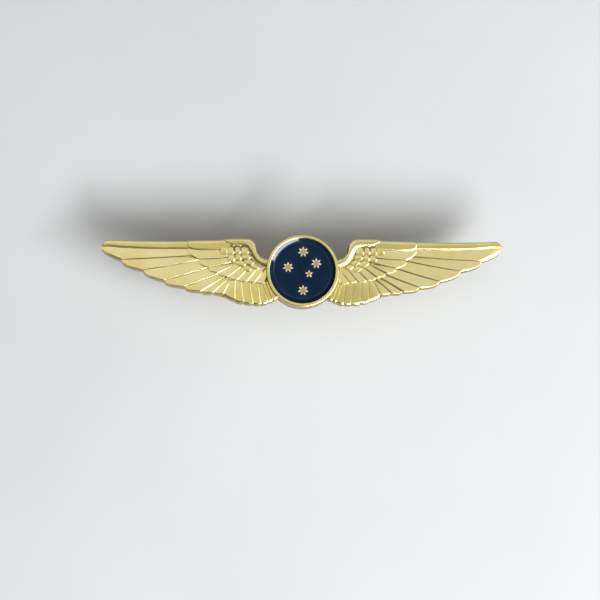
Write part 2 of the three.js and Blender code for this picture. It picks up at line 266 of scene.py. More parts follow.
def grid_solid(name, rows, wall_out):
    """A closed block whose top is a grid of points. Its wall drops from the grid's rim to the back plane,
    leaning out by wall_out on the way."""
    count, width = len(rows), len(rows[0])
    verts = [p for row in rows for p in row]
    index = [[r * width + c for c in range(width)] for r in range(count)]
    faces = [
        (index[r][c], index[r][c + 1], index[r + 1][c + 1], index[r + 1][c])
        for r in range(count - 1)
        for c in range(width - 1)
    ]
    rim = index[0][:-1] + [row[-1] for row in index[:-1]]
    rim += index[-1][:0:-1] + [row[0] for row in index[:0:-1]]
    flat = np.array([verts[i][:2] for i in rim])
    ahead, behind = np.roll(flat, -1, 0), np.roll(flat, 1, 0)
    tangent = ahead - behind
    tangent /= np.maximum(np.linalg.norm(tangent, axis=1, keepdims=True), 1e-9)
    area = np.sum(flat[:, 0] * ahead[:, 1] - flat[:, 1] * ahead[:, 0])
    normal = np.stack([tangent[:, 1], -tangent[:, 0]], 1) * (1 if area > 0 else -1)
    foot = len(verts)
    verts += [(x, y, 0.0) for x, y in flat + normal * wall_out]
    n = len(rim)
    faces += [(rim[i], rim[(i + 1) % n], foot + (i + 1) % n, foot + i) for i in range(n)]
    faces.append(tuple(foot + i for i in range(n)))
    return new_object(name, verts, faces)


def tube(name, sections):
    """A closed solid through a row of loops that all have the same number of points, capped at both ends."""
    count = len(sections[0])
    verts = [p for section in sections for p in section]
    faces = [
        (r * count + k, r * count + (k + 1) % count, (r + 1) * count + (k + 1) % count, (r + 1) * count + k)
        for r in range(len(sections) - 1)
        for k in range(count)
    ]
    faces.append(tuple(range(count)))
    faces.append(tuple((len(sections) - 1) * count + k for k in range(count)))
    return new_object(name, verts, faces)


def ring(name, sections):
    """A closed solid round an axis, through a ring of loops."""
    turns, count = len(sections), len(sections[0])
    verts = [p for section in sections for p in section]
    faces = [
        (t * count + k, t * count + (k + 1) % count,
         (t + 1) % turns * count + (k + 1) % count, (t + 1) % turns * count + k)
        for t in range(turns)
        for k in range(count)
    ]
    return new_object(name, verts, faces)


def prism(name, outline, low, high):
    return tube(name, [[(x, y, z) for x, y in outline] for z in (low, high)])


# ---------------------------------------------------------------- the casting

def seam_point(seam, t):
    """A point on a feather's seam: t is 0 at the root and 1 at the trailing edge."""
    tip, root, bow = seam
    tip, root = np.array(tip), np.array(root)
    run = tip - root
    outward = np.array([-run[1], run[0]]) / np.linalg.norm(run)
    return root + run * t + outward * bow * 4 * t * (1 - t)


def pointing(direction, along):
    """A unit vector across direction, on the side that along points to."""
    across = np.array([-direction[1], direction[0]]) / np.linalg.norm(direction)
    return across if across @ along > 0 else -across


def tip_point(tucked, raised, s, fullness):
    """A point on the lopsided arc of a feather's tip, which is fullest near its tucked corner."""
    start, end = np.array(tucked[0]), np.array(raised[0])
    chord = end - start
    size = np.linalg.norm(chord)
    outward = pointing(chord, start - np.array(tucked[1])) * size * fullness
    full, late = (start + chord * share + outward * out for share, out in TIP_HANDLES)
    a, b = 1 - s, s
    return start * a**3 + full * 3 * a * a * b + late * 3 * a * b * b + end * b**3


def rounding(distance, width):
    """1 well inside an edge, falling on a quarter circle to 0 at the edge."""
    share = np.clip(distance / width, 0, 1)
    return math.sqrt(max(0.0, 1 - (1 - share) ** 2))


# Where the rows of a feather's mesh lie on its bevels, as shares of the bevel's width.
BEVEL_STEPS = (0.0, 0.12, 0.3, 0.5, 0.7, 0.86, 0.95, 1.05, 1.3)


def bevel(distance, width, ease=BEVEL_EASE):
    """1 well inside an edge, falling to 0 at the edge on a bevel. Its upper corner is eased, or crisp when
    ease is 1."""
    return 1 - (1 - min(max(distance / width, 0.0), 1.0)) ** ease


def feather(tucked, raised, side, base, lean, rise, edge, tip_edge, slope, fullness):
    """One feather between two seams. It leans up by lean from the tucked seam to the raised one, and its
    height changes by rise from root to tip. Bevels as wide as edge and tip_edge run along its raised side,
    where they fall with slope, and round its tip."""
    axis = np.subtract(raised[0], raised[1])
    length = np.linalg.norm(axis)
    axis = axis / length
    tucked_tip, raised_tip = np.array(tucked[0]), np.array(raised[0])
    chord = raised_tip - tucked_tip
    slant = abs(axis[0] * chord[1] - axis[1] * chord[0]) / np.linalg.norm(chord)
    tip_run = tip_edge / slant
    along = [i / FEATHER_ROWS * (1 - 2 * tip_run / length) for i in range(FEATHER_ROWS + 1)]
    along += [1 - share * tip_run / length for share in (1.7, *BEVEL_STEPS[::-1])]
    tip_zone = min(TIP_SHARE, 1.5 * np.linalg.norm(chord) / length)
    under = pointing(np.subtract(*tucked[:2]), tucked_tip - raised_tip) * TUCK
    rows = []
    for t in along:
        a, b = seam_point(tucked, t), seam_point(raised, t)
        reach = abs(axis[0] * (b - a)[1] - axis[1] * (b - a)[0])
        band = min(edge, EDGE_SHARE * reach)
        inner = 1 - BEVEL_STEPS[-1] * band / reach
        across = [i / FEATHER_COLUMNS * inner for i in range(FEATHER_COLUMNS + 1)]
        across += [1 - share * band / reach for share in BEVEL_STEPS[-2::-1]]
        pull = max(0.0, (t - 1 + tip_zone) / tip_zone) ** TIP_PULL
        height = base + rise * t * abs(t)
        tip_fall = TIP_SLOPE * tip_edge * (1 - bevel((1 - t) * length * slant, tip_edge))
        row = []
        for s in across:
            square = tucked_tip * (1 - s) + raised_tip * s
            flat = a + (b - a) * s + pull * (tip_point(tucked, raised, s, fullness) - square)
            ease = BEVEL_EASE if slope < KEEN_SLOPE else 1
            side_fall = slope * band * (1 - bevel((1 - s) * reach, band, ease))
            crown = FEATHER_CROWN * reach * s * (1 - s)
            row.append((flat[0], flat[1], height + lean * s + crown - max(side_fall, tip_fall)))
        hidden = seam_point(tucked, t * (1 - 1.3 * TUCK / length)) + under
        row.insert(0, (hidden[0], hidden[1], height - TUCK_DROP - CORNER_DROP * (t > 0.999)))
        rows.append([(x * side, y, z) for x, y, z in row])
    return grid_solid("feather", rows, DRAFT)


def flight_row(side):
    """The flight feathers lap inwards. The outer four have keen edges, the next three broad bevels, and the
    short ones by the medallion slope down to their tips with hardly a step between them. The first primary is
    bevelled off broadly along its tip, most of all on the right wing."""
    row = []
    for i, (outer, inner) in enumerate(zip(FLIGHT_SEAMS, FLIGHT_SEAMS[1:])):
        width = np.linalg.norm(np.subtract(outer[0], inner[0]))
        tip_edge = 0.17
        if i < 4:
            lean, rise, edge, slope = 0.27, -0.04, 0.17, KEEN_SLOPE
        elif i < 7:
            lean, rise, edge, slope = min(0.24, 0.12 * width), -0.06, 0.36, BEVEL_SLOPE
        else:
            lean, rise, edge, slope = 0.12, -0.22, 0.11, BEVEL_SLOPE
            tip_edge = 0.26
        if i == 0:
            tip_edge = 0.7 if side > 0 else 0.34
        row.append(feather(outer, inner, side, FLIGHT_TOP, lean, rise, edge, tip_edge, slope, 1.0))
    return row


def covert_row(side):
    """The coverts lap inwards too. The outer two have keen edges, the others broad bevels."""
    row = []
    for i, (outer, inner) in enumerate(zip(COVERT_SEAMS, COVERT_SEAMS[1:])):
        width = np.linalg.norm(np.subtract(outer[0], inner[0]))
        lean = min(0.22, 0.12 * width)
        edge, slope = (0.14, KEEN_SLOPE) if i < 2 else (0.34, BEVEL_SLOPE)
        row.append(feather(outer, inner, side, COVERT_TOP, lean, 0.0, edge, 0.2, slope, 1.7))
    return row


def scale_feather(middle, half_width, half_length, turn, level, side):
    """A small covert: a squarish tongue with a broad bevel all round, whose tip stands up over the row
    below."""
    turn = math.radians(turn)
    angles = [2 * math.pi * k / 36 for k in range(36)]
    power = SCALE_SQUARENESS
    square = [(abs(math.cos(a)) ** power + abs(math.sin(a)) ** power) ** (-1 / power) for a in angles]
    sections = []
    for share in SCALE_RINGS:
        loop = []
        for angle, reach in zip(angles, square):
            across = share * reach * math.cos(angle) * half_width * SCALE_GROW
            along = share * reach * math.sin(angle) * half_length * SCALE_GROW
            x = middle[0] + across * math.cos(turn) - along * math.sin(turn)
            y = middle[1] - across * math.sin(turn) - along * math.cos(turn)
            dome = bevel(1 - share, 1 - SCALE_FLAT)
            loop.append((x * side, y, level + SCALE_BULGE * dome + SCALE_TILT * along / half_length))
        sections.append(loop)
    sections[0] = [(x, y, 0.0) for x, y, _ in sections[0]]
    return tube("scale", sections)


def spline(points, count):
    """Evenly spaced points on a smooth curve through the given ones."""
    points = np.array(points, float)
    padded = np.vstack([2 * points[0] - points[1], points, 2 * points[-1] - points[-2]])
    fine = []
    for i in range(1, len(padded) - 2):
        p0, p1, p2, p3 = padded[i - 1 : i + 3]
        for t in np.linspace(0, 1, 24, endpoint=False):
            fine.append(
                0.5
                * (
                    2 * p1
                    + (p2 - p0) * t
                    + (2 * p0 - 5 * p1 + 4 * p2 - p3) * t * t
                    + (3 * p1 - p0 - 3 * p2 + p3) * t**3
                )
            )
    fine = np.array(fine + [points[-1]])
    reach = np.concatenate([[0], np.cumsum(np.linalg.norm(np.diff(fine, axis=0), axis=1))])
    even = np.linspace(0, reach[-1], count)
    return np.stack([np.interp(even, reach, fine[:, k]) for k in range(fine.shape[1])], 1)


def bar(top, under, height, side, count, fall):
    """A bar between two edge curves that run from its inner to its outer end. Its crest lies near its upper
    edge, and from there it curves down to a slope of fall degrees at its lower edge. It is meshed in count
    rows."""
    upper, lower = spline(top, count), spline(under, count)
    runs = np.linalg.norm(np.diff((upper + lower) / 2, axis=0), axis=1)
    lengths = np.concatenate([[0], np.cumsum(runs)])
    rows = []
    for i in range(count):
        width = np.linalg.norm(upper[i] - lower[i])
        to_end = rounding(lengths[-1] - lengths[i] + 0.02, BAR_ROUND_END)
        row = []
        for k in range(25):
            s = 0.5 - 0.5 * math.cos(math.pi * k / 24)
            flat = upper[i] * (1 - s) + lower[i] * s
            beyond = (s - CREST) / (1 - CREST) if s > CREST else (CREST - s) / CREST
            span = (1 - CREST if s > CREST else CREST) * width
            slope = math.tan(math.radians(fall if s > CREST else CREST_FALL))
            to_upper = rounding(s * width + 0.01, BAR_ROUND_UPPER)
            to_lower = rounding((1 - s) * width + 0.01, BAR_ROUND_LOWER)
            sunk = beyond**2 * span / 2 * slope
            z = height - sunk - BAR_ROUND_DEPTH * (1 - to_upper * to_lower * to_end)
            row.append((flat[0] * side, flat[1], z))
        rows.append(row)
    return grid_solid("bar", rows, DRAFT)


def ridge(side):
    """The leading edge: outer bar, middle bar lapping over it, and the S-shaped shoulder."""
    outer = bar(
        [(21.5, 6.04), (30.3, 6.0), (36.6, 6.12), (38.4, 6.18), (39.25, 5.96), (39.85, 5.3)],
        [(21.5, 4.46), (29.3, 4.42), (35.3, 4.65), (37.4, 4.84), (38.6, 4.95), (39.6, 4.98)],
        RIDGE_TOP - 0.25, side, 60, 17,
    )
    middle = bar(
        [(14.4, 6.37), (18.5, 6.23), (22.2, 6.12), (22.75, 5.96), (23.0, 5.55)],
        [(14.4, 4.34), (17.5, 4.14), (20.4, 4.14), (22.1, 4.36), (22.75, 4.68)],
        RIDGE_TOP - 0.1, side, 40, 17,
    )
    shoulder = bar(
        [(5.6, 2.16), (7.4, 2.47), (8.5, 2.97), (9.02, 3.85), (9.22, 4.92), (9.62, 5.84), (10.35, 6.42),
         (11.5, 6.53), (13.5, 6.51), (15.1, 6.44), (15.6, 6.17)],
        [(5.6, 0.62), (7.6, 0.97), (9.0, 1.63), (10.0, 2.65), (10.55, 3.76), (10.95, 4.48), (11.7, 4.9),
         (12.6, 5.01), (14.0, 5.04), (15.1, 5.5), (15.55, 5.93)],
        RIDGE_TOP, side, 70, 32,
    )
    return [outer, middle, shoulder]


def disc(name, profile, spokes):
    """A solid turned about the Z axis from [radius, height] points that start and end on the axis."""
    verts, faces = [], []
    rings = []
    for radius, height in profile:
        if radius < 1e-6:
            rings.append([len(verts)])
            verts.append((0, 0, height))
        else:
            rings.append(list(range(len(verts), len(verts) + spokes)))
            angles = [2 * math.pi * k / spokes for k in range(spokes)]
            verts += [(radius * math.cos(a), radius * math.sin(a), height) for a in angles]
    for low, high in zip(rings, rings[1:]):
        for k in range(spokes):
            a, b = low[k % len(low)], low[(k + 1) % len(low)]
            c, d = high[(k + 1) % len(high)], high[k % len(high)]
            corners = [a] + ([b] if b != a else []) + [c] + ([d] if d != c else [])
            faces.append(tuple(corners))
    return new_object(name, verts, faces)


def wings_casting():
    """Both wings and the round boss between them, with the seat for the medallion cut flat."""
    boss = disc(
        "casting",
        [(0, 0), (BOSS_RADIUS + DRAFT, 0), (BOSS_RADIUS, SEAT_TOP), (0, SEAT_TOP)],
        96,
    )
    pieces = []
    for side in (-1, 1):
        pieces += flight_row(side) + covert_row(side)
        for one, row in zip(SCALES, SCALE_ROWS):
            pieces.append(scale_feather(*one, SCALE_BED_TOP + 0.02 + SCALE_ROW_STEP * row, side))
        for outline, top in ((SCALE_BED, SCALE_BED_TOP), (ROOT_BED, ROOT_BED_TOP), (WEB, WEB_TOP)):
            pieces.append(prism("bed", [(x * side, y) for x, y in outline], 0, top))
        pieces += ridge(side)
    boolean(boss, pieces, "UNION")
    seat = disc(
        "seat",
        [(0, SEAT_TOP), (MEDALLION_RADIUS + 0.03, SEAT_TOP), (MEDALLION_RADIUS + 0.03, 6), (0, 6)],
        128,
    )
    boolean(boss, [seat], "DIFFERENCE")
    smooth(boss, 30)
    boss.name = "cast_wings"
    return boss


casting = wings_casting()
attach(casting, "pin")
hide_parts("wings_casting")


# ---------------------------------------------------------------- the medallion

def star_outline(middle, radius, count, grow=0.0, splits=3):
    """The outline of a star with count blunt points, one of them up, and its edges split into short runs."""
    corners = []
    for i in range(2 * count):
        reach = (radius * STAR_CORE if i % 2 else radius) + grow
        for blunt in (0,) if i % 2 else (-STAR_BLUNT, STAR_BLUNT):
            angle = math.pi / 2 + i * math.pi / count + blunt
            x, y = reach * math.cos(angle), reach * math.sin(angle)
            corners.append((middle[0] + x, middle[1] + y))
    outline = []
    for (x0, y0), (x1, y1) in zip(corners, corners[1:] + corners[:1]):
        for k in range(splits):
            outline.append((x0 + (x1 - x0) * k / splits, y0 + (y1 - y0) * k / splits))
    return outline


def star(middle, radius, count):
    """A star with a level core, whose points slope down to the enamel."""
    outline = np.array(star_outline(middle, radius, count))
    centre = np.array(middle)
    sections = [[(x, y, MEDALLION_FLOOR - 0.1) for x, y in outline]]
    for share in (1.0, 0.97, 0.9, 0.8, 0.7, 0.6, 0.5, 0.35, 0.15):
        loop = centre + (outline - centre) * share
        reach = np.linalg.norm(loop - centre, axis=1) / radius
        fall = STAR_FALL * np.clip((reach - 0.5) / 0.5, 0, 1) + 0.04 * (share > 0.99)
        sections.append([(x, y, STAR_TOP - f) for (x, y), f in zip(loop, fall)])
    return tube("star", sections)


def medallion():
    """The struck cup with its rounded bezel and the stars that stand on its floor."""
    inner = MEDALLION_RADIUS - BEZEL_WIDTH
    bottom = SEAT_TOP + 0.04
    crown = []
    for k in range(17):
        angle = math.pi * k / 16
        x = math.copysign(abs(math.cos(angle)) ** BEZEL_FULLNESS, math.cos(angle))
        reach = (inner + MEDALLION_RADIUS) / 2 + BEZEL_WIDTH / 2 * x
        crown.append((reach, BEZEL_TOP - BEZEL_CROWN * (1 - math.sin(angle) ** BEZEL_FULLNESS)))
    profile = [(0, bottom), (MEDALLION_RADIUS - 0.08, bottom), (MEDALLION_RADIUS, bottom + 0.08)]
    profile += crown + [(inner, MEDALLION_FLOOR), (0, MEDALLION_FLOOR)]
    cup = disc("medallion_cup", profile, 192)
    boolean(cup, [star(*one) for one in STARS], "UNION")
    smooth(cup, 40)
    return cup


def from_stars(x, y):
    """The distance from a point to the nearest edge of a star."""
    near = np.full(np.shape(x), 1e3)
    for one in STARS:
        outline = np.array(star_outline(*one, splits=1))
        for (x0, y0), (x1, y1) in zip(outline, np.roll(outline, -1, 0)):
            dx, dy = x1 - x0, y1 - y0
            t = np.clip(((x - x0) * dx + (y - y0) * dy) / (dx * dx + dy * dy), 0, 1)
            near = np.minimum(near, np.hypot(x - x0 - t * dx, y - y0 - t * dy))
    return near


def enamel():
    """The enamel, which creeps up the bezel and a little up the stars."""
    spokes = 288
    edge = MEDALLION_RADIUS - BEZEL_WIDTH - 0.005
    reaches = np.concatenate([np.linspace(0.15, edge - 1.1, 38), np.linspace(edge - 1.0, edge, 24)])
    angles = 2 * np.pi * np.arange(spokes) / spokes
    bottom = MEDALLION_FLOOR + 0.03
    sections = [[(edge * math.cos(a), edge * math.sin(a), bottom) for a in angles]]
    for reach in reaches[::-1]:
        x, y = reach * np.cos(angles), reach * np.sin(angles)
        creep = CREEP_SLOPE * np.logaddexp(0, (reach - edge + CREEP) / CREEP_BEND) * CREEP_BEND
        height = ENAMEL_TOP + creep + STAR_CREEP * np.exp(-from_stars(x, y) / STAR_CREEP_REACH)
        sections.append(list(zip(x, y, height)))
    fill = tube("enamel_pool", sections)
    boolean(fill, [prism("hole", star_outline(*one, grow=0.01), 3, 5) for one in STARS], "DIFFERENCE")
    smooth(fill, 40)
    return fill


cup = medallion()
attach(cup, "pin")
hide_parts("medallion")
pool = enamel()
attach(pool, "pin")
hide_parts("enamel_fill")


# ---------------------------------------------------------------- posts and clutches

def on_post(points, side):
    """Moves points from a clutch's own frame, whose +Y points away from the medallion, to the pin's."""
    return [(side * (POST_X + y), POST_Y - side * x, z) for x, y, z in points]


def move_to_post(obj, side):
    co = np.array([v.co for v in obj.data.vertices]) / MM
    obj.data.vertices.foreach_set("co", (np.array(on_post(co, side)) * MM).ravel())
    obj.data.update()


def post(side):
    """A pointed post on its round pad, with the groove that the clutch's jaws snap into."""
    profile = [(0, -POST_LENGTH), (0.1, -POST_LENGTH + 0.01), (0.16, -POST_LENGTH + 0.06)]
    profile += [(0.52, -POST_LENGTH + 0.52), (0.58, -POST_LENGTH + 0.62), (0.6, -POST_LENGTH + 0.72)]
    groove = [(0.0, 0.0), (0.06, 0.03), (0.12, 0.09), (0.18, 0.12), (0.24, 0.09), (0.3, 0.03), (0.36, 0.0)]
    profile += [(POST_RADIUS - depth, -POST_LENGTH + 0.85 + z) for z, depth in groove]
    fillet = [(0.0, 0.5), (0.02, 0.35), (0.08, 0.2), (0.2, 0.08), (0.38, 0.02)]
    profile += [(POST_RADIUS + r, -PAD_THICKNESS - z) for r, z in fillet]
    profile += [(PAD_RADIUS - 0.14, -PAD_THICKNESS), (PAD_RADIUS - 0.05, -PAD_THICKNESS + 0.04)]
    profile += [(PAD_RADIUS, -PAD_THICKNESS + 0.13), (PAD_RADIUS, -0.04), (0, -0.04)]
    obj = disc("post_%s" % SIDES[side], profile, 48)
    move_to_post(obj, side)
    smooth(obj, 40)
    return obj


def strip(path, thickness, widths, count):
    """A bent strip of sheet metal, as loops of (across, reach, height). Its path lies in the plane of reach
    and height, and its width, given by widths evenly spaced along it, lies across that plane."""
    points = spline(path, count)
    tangent = np.gradient(points, axis=0)
    tangent /= np.linalg.norm(tangent, axis=1, keepdims=True)
    normal = np.stack([-tangent[:, 1], tangent[:, 0]], 1)
    shares = np.linspace(0, 1, count)
    half_widths = np.interp(shares, np.linspace(0, 1, len(widths)), widths) / 2
    bend = 0.3 * thickness
    loops = []
    for point, out, half in zip(points, normal, half_widths):
        loop = []
        for quarter, (sx, sn) in enumerate(((1, 1), (-1, 1), (-1, -1), (1, -1))):
            for k in range(4):
                angle = math.pi / 2 * (quarter + k / 3)
                across = sx * (half - bend) + bend * math.cos(angle)
                rise = sn * (thickness / 2 - bend) + bend * math.sin(angle)
                loop.append((across, point[0] + out[0] * rise, point[1] + out[1] * rise))
        loops.append(loop)
    return loops


def slot_outline(half, low, high):
    """A slot with round ends, between low and high along Y."""
    ends = [(high - half, 0), (low + half, math.pi)]
    return [
        (half * math.cos(start + math.pi * k / 12), y + half * math.sin(start + math.pi * k / 12))
        for y, start in ends
        for k in range(13)
    ]


def clutch_base(side):
    """The dished base with its rolled rim, and the two tabs folded over the spring strip."""
    under = spline([(0.98, -1.35), (3.4, -1.35), (4.0, -1.3), (4.85, -0.98), (5.35, -0.58), (5.6, -0.42)], 22)
    rim = [(5.69, -0.36), (5.75, -0.26), (5.75, -0.14), (5.69, -0.06), (5.58, -0.04), (5.44, -0.05)]
    over = spline([(5.34, -0.12), (5.2, -0.3), (4.65, -0.68), (3.9, -0.97), (3.3, -1.0), (0.98, -1.0)], 22)
    lip = [(0.87, -1.04), (0.82, -1.12), (0.82, -1.23), (0.87, -1.31), (0.98, -1.35)]
    profile = np.vstack([under, rim, over, lip[:-1]])
    sections = []
    for k in range(96):
        angle = 2 * math.pi * k / 96
        sections.append([(r * math.cos(angle), r * math.sin(angle), z) for r, z in profile])
    base = ring("clutch_base_%s" % SIDES[side], sections)
    tabs = []
    for way in (-1, 1):
        path = [
            (2.42, -1.15), (2.42, -1.5), (2.42, -1.72), (2.36, -1.86), (2.22, -1.925), (2.0, -1.925),
            (1.66, -1.925),
        ]
        loops = strip(path, SHEET, [2.2, 2.2, 2.2, 2.0, 1.7], 26)
        tabs.append(tube("tab", [[(reach * way, across, z) for across, reach, z in loop] for loop in loops]))
    boolean(base, tabs, "UNION")
    move_to_post(base, side)
    smooth(base, 40)
    return base


def spring_half(side, way, jaw, name):
    """Half of the spring strip: half of the clamped web, and the ear that curls from it back to the post."""
    top = DISH_FLOOR - 0.04 - STRIP / 2
    path = [
        (0.0, top), (0.7, top), (HINGE, top), (2.6, top - 0.02), (3.9, -1.95), (4.95, -2.9), (5.12, -4.3),
        (4.4, -5.75), (3.15, -6.22), (2.2, -5.5), (2.0, -4.4), (1.9, jaw - 0.32), (1.5, jaw), (0.4, jaw),
        (-1.0, jaw),
    ]
    widths = [4.3, 4.3, 4.3, 4.4, 4.4, 4.4, 4.4, 4.3, 4.1, 3.8, 3.4, 3.0]
    loops = strip(path, STRIP, widths, 130)
    obj = tube(name, [[(across, reach * way, z) for across, reach, z in loop] for loop in loops])
    hole = [(WEB_HOLE * math.cos(a), WEB_HOLE * math.sin(a)) for a in np.arange(32) * math.pi / 16]
    low, high = (-0.65, 1.0) if way > 0 else (-1.0, 0.65)
    cuts = [
        prism("hole", hole, top - 0.3, top + 0.3),
        prism("slot", slot_outline(JAW_SLOT, low, high), jaw - 0.3, jaw + 0.3),
    ]
    boolean(obj, cuts, "DIFFERENCE")
    move_to_post(obj, side)
    smooth(obj, 40)
    return obj


SIDES = {-1: "left", 1: "right"}

posts, bases, springs = [], [], []
for side in (-1, 1):
    label = SIDES[side]
    posts.append(post(side))
    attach(posts[-1], "pin")
    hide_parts(label + "_post")
    bases.append(clutch_base(side))
    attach(bases[-1], label + "_clutch")
    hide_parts(label + "_clutch_base")
    for ear, way, jaw in (("outer", 1, JAW_HEIGHTS[0]), ("inner", -1, JAW_HEIGHTS[1])):
        half = spring_half(side, way, jaw, "spring_%s_%s" % (label, ear))
        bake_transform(half)
        replaced = ["%s_clutch_%s_ear" % (label, ear)]
        if ear == "outer":
            replaced.append(label + "_clutch_web")
        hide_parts(*replaced)
        springs.append(half)


# ---------------------------------------------------------------- materials

def new_material(name):
    material = bpy.data.materials.new(name)
    material.use_nodes = True
    return material, material.node_tree, material.node_tree.nodes["Principled BSDF"]


def node(tree, kind, sockets=None, **settings):
    """Adds a shader node. A socket's value is a number, a colour or another node's output."""
    made = tree.nodes.new("ShaderNode" + kind)
    for key, value in settings.items():
        setattr(made, key, value)
    for key, value in (sockets or {}).items():
        if isinstance(value, bpy.types.NodeSocket):
            tree.links.new(value, made.inputs[key])
        else:
            made.inputs[key].default_value = value
    return made


def noise(tree, size, detail=2.0, roughness=0.5):
    """Noise whose blotches are about size millimetres across."""
    place = node(tree, "TexCoord").outputs["Object"]
    return node(tree, "TexNoise", {
        "Vector": place, "Scale": 1 / (size * MM), "Detail": detail, "Roughness": roughness,
    }).outputs["Fac"]


def remap(tree, value, low, high, to_low, to_high):
    return node(tree, "MapRange", {
        "Value": value, "From Min": low, "From Max": high, "To Min": to_low, "To Max": to_high,
    }).outputs["Result"]


def mix(tree, share, first, second):
    made = node(tree, "Mix", {0: share}, data_type="RGBA")
    for socket, value in ((made.inputs[6], first), (made.inputs[7], second)):
        if isinstance(value, bpy.types.NodeSocket):
            tree.links.new(value, socket)
        else:
            socket.default_value = (*value, 1)
    return made.outputs[2]


def math_node(tree, operation, first, second):
    return node(tree, "Math", {0: first, 1: second}, operation=operation).outputs[0]


NOISE_RANGE = (0.3, 0.7)      # where most of a noise's values lie
GOLD = (0.86, 0.74, 0.355)
DULL_GOLD = (0.8, 0.67, 0.285)
# The colour of the painted highlight on the points of the stars.
HIGHLIGHT_GOLD = (1.0, 0.96, 0.82)
BRASS = (0.8, 0.62, 0.26)
DULL_BRASS = (0.7, 0.52, 0.2)
# Painted shade: the colour that hollows, steep walls and the tops of the stars are darkened towards.
PAINTED_SHADE = (0.17, 0.138, 0.048)
NAVY = (0.0034, 0.013, 0.031)
DEEP_NAVY = (0.0022, 0.0095, 0.024)
ENAMEL_SPECULAR = 0.26
ENAMEL_CLOUDS = 2.6           # sizes of the enamel's mottling and of its waviness
ENAMEL_WAVES = 1.3
ENAMEL_WAVE_DEPTH = 0.02
DRIFT_SIZE = 4.5              # sizes of the blotches of colour and of polish, and of the casting's grain
PATCH_SIZE = 0.9
GRAIN_SIZE = 0.22
GRAIN_DEPTH = 0.04
SHADE_REACH = 0.35           # how near a wall stands that still darkens a point with painted shade
SHADE_RANGE = (0.22, 0.66)   # the share of open sky at which the painted shade is full, and at which it is gone
WALL_RANGE = (0.15, 0.4)      # the upright part of the normal on a full wall, and where the wall ends
SHADE_BAND = (0.005, 0.015)    # how far from the level of the star tops a face gets full painted shade, and where that ends
# How much painted shade the tops of the stars get.
SHADE_TINT = 0.4
HIGHLIGHT_DROP = (0.03, 0.01)      # how far below the level of the star tops a slope gets the full painted highlight, and where that starts
# How much painted highlight the slopes of the stars get.
HIGHLIGHT_TINT = 0.8
CUP_INSIDE = (6.8, 7.0)       # distances from the middle of the back between which the painted highlight fades


def plated(name, bright, dull, shade_colour, polish, cast, wall_shade=0.0, shade_level=None):
    """Plated metal: its colour drifts a little, its recesses are darkened with painted shade, its polish is
    uneven, and the steep walls keep the grain of the casting and are darkened with painted shade. Level faces
    at the given level, the tops of the stars, get painted shade, and the slopes of the stars below it a
    painted highlight."""
    material, tree, shader = new_material(name)
    drift = remap(tree, noise(tree, DRIFT_SIZE), 0.35, 0.65, 0, 1)
    # Painted shade: points hemmed in by nearby walls are darkened towards the shade colour.
    sky = node(tree, "AmbientOcclusion", {"Distance": SHADE_REACH * MM}, samples=8).outputs["AO"]
    hollow_shade = remap(tree, sky, *SHADE_RANGE, 1, 0)
    colour = mix(tree, drift, bright, dull)
    colour = mix(tree, hollow_shade, colour, shade_colour)
    normal = node(tree, "NewGeometry").outputs["Normal"]
    upright = node(tree, "SeparateXYZ", {0: normal}).outputs["Z"]
    wall = remap(tree, math_node(tree, "ABSOLUTE", upright, 0), *WALL_RANGE, 1, 0)
    # Painted shade: the steep walls are darkened part of the way towards the shade colour.
    colour = mix(tree, math_node(tree, "MULTIPLY", wall, wall_shade), colour, shade_colour)
    # Painted shade on the level tops of the stars, and a painted highlight on their points just below.
    if shade_level:
        place = node(tree, "TexCoord").outputs["Object"]
        height = node(tree, "SeparateXYZ", {0: place}).outputs["Z"]
        above = math_node(tree, "SUBTRACT", height, shade_level * MM)
        off_level = math_node(tree, "ABSOLUTE", above, 0)
        flat = remap(tree, off_level, *(band * MM for band in SHADE_BAND), SHADE_TINT, 0)
        colour = mix(tree, flat, colour, shade_colour)
        below = remap(tree, height, *((shade_level - drop) * MM for drop in HIGHLIGHT_DROP), HIGHLIGHT_TINT, 0)
        away = node(tree, "VectorMath", {0: place}, operation="LENGTH").outputs["Value"]
        inside = remap(tree, away, *(reach * MM for reach in CUP_INSIDE), 1, 0)
        colour = mix(tree, math_node(tree, "MULTIPLY", below, inside), colour, HIGHLIGHT_GOLD)
    grain = noise(tree, GRAIN_SIZE, 5, 0.6)
    patchy = remap(tree, noise(tree, PATCH_SIZE, 4, 0.6), *NOISE_RANGE, polish - 0.02, polish + 0.03)
    rough = math_node(tree, "MAXIMUM", patchy, math_node(tree, "MULTIPLY", wall, cast))
    tree.links.new(colour, shader.inputs["Base Color"])
    tree.links.new(rough, shader.inputs["Roughness"])
    shader.inputs["Metallic"].default_value = 1.0
    depth = math_node(tree, "MULTIPLY_ADD", wall, 0.8)
    depth.node.inputs[2].default_value = 0.02
    height = math_node(tree, "MULTIPLY", grain, depth)
    bump = node(tree, "Bump", {"Height": height, "Strength": 0.6, "Distance": GRAIN_DEPTH * MM})
    tree.links.new(bump.outputs["Normal"], shader.inputs["Normal"])
    return material


